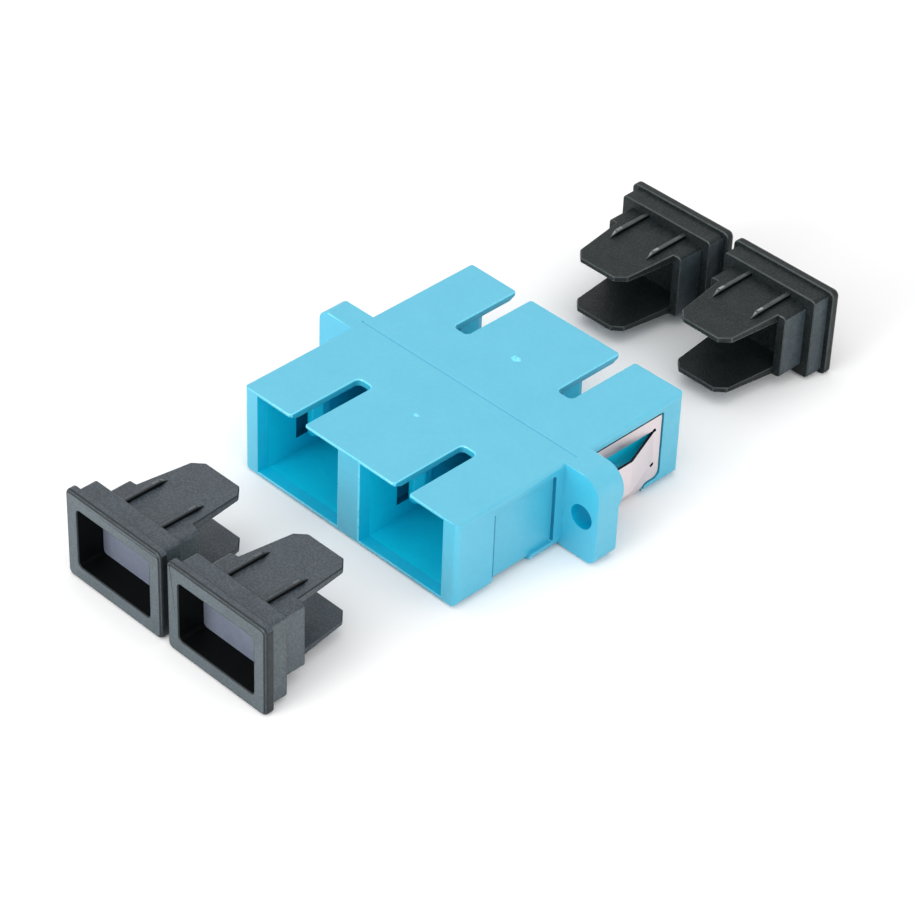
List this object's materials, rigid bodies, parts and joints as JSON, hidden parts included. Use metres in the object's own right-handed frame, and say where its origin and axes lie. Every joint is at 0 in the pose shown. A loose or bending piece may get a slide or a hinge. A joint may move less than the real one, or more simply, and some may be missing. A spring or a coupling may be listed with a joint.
{
  "type": "fibre optic adapter",
  "caption": "Flanged duplex fibre coupler in aqua plastic with a spring panel clip, keyed ports on both ends and black dust caps pulled off in line with the ports.",
  "frame": {"origin": "midpoint between the two flange screw holes, on the weld seam and at the height of the ferrule axes", "axes": "+X across the two ports, +Y along the ferrule axes from the front ports to the rear ports, +Z towards the key slots"},
  "size_m": [0.0342, 0.0694, 0.0092],
  "materials": {
    "aqua_housing": "satin moulded",
    "latch_plastic": "satin moulded",
    "clip_steel": "bright rolled",
    "zirconia": "ground",
    "cap_black": "fine moulded"
  },
  "bodies": {
    "adapter": {"front_housing": "aqua_housing", "rear_housing": "aqua_housing", "panel_clip": "clip_steel", "front_latch_holder_left": "latch_plastic", "front_latch_holder_right": "latch_plastic", "rear_latch_holder_left": "latch_plastic", "rear_latch_holder_right": "latch_plastic", "split_sleeve_left": "zirconia", "split_sleeve_right": "zirconia"},
    "front_dust_cap_left_body": {"front_dust_cap_left": "cap_black"},
    "front_dust_cap_right_body": {"front_dust_cap_right": "cap_black"},
    "rear_dust_cap_left_body": {"rear_dust_cap_left": "cap_black"},
    "rear_dust_cap_right_body": {"rear_dust_cap_right": "cap_black"}
  },
  "joints": [
    {"name": "front_cap_left_push_in", "type": "slide", "parent": "adapter", "child": "front_dust_cap_left_body", "axis": [0, 1, 0], "range_m": [0, 0.01755]},
    {"name": "front_cap_right_push_in", "type": "slide", "parent": "adapter", "child": "front_dust_cap_right_body", "axis": [0, 1, 0], "range_m": [0, 0.01755]},
    {"name": "rear_cap_left_push_in", "type": "slide", "parent": "adapter", "child": "rear_dust_cap_left_body", "axis": [0, -1, 0], "range_m": [0, 0.01875]},
    {"name": "rear_cap_right_push_in", "type": "slide", "parent": "adapter", "child": "rear_dust_cap_right_body", "axis": [0, -1, 0], "range_m": [0, 0.01875]}
  ]
}
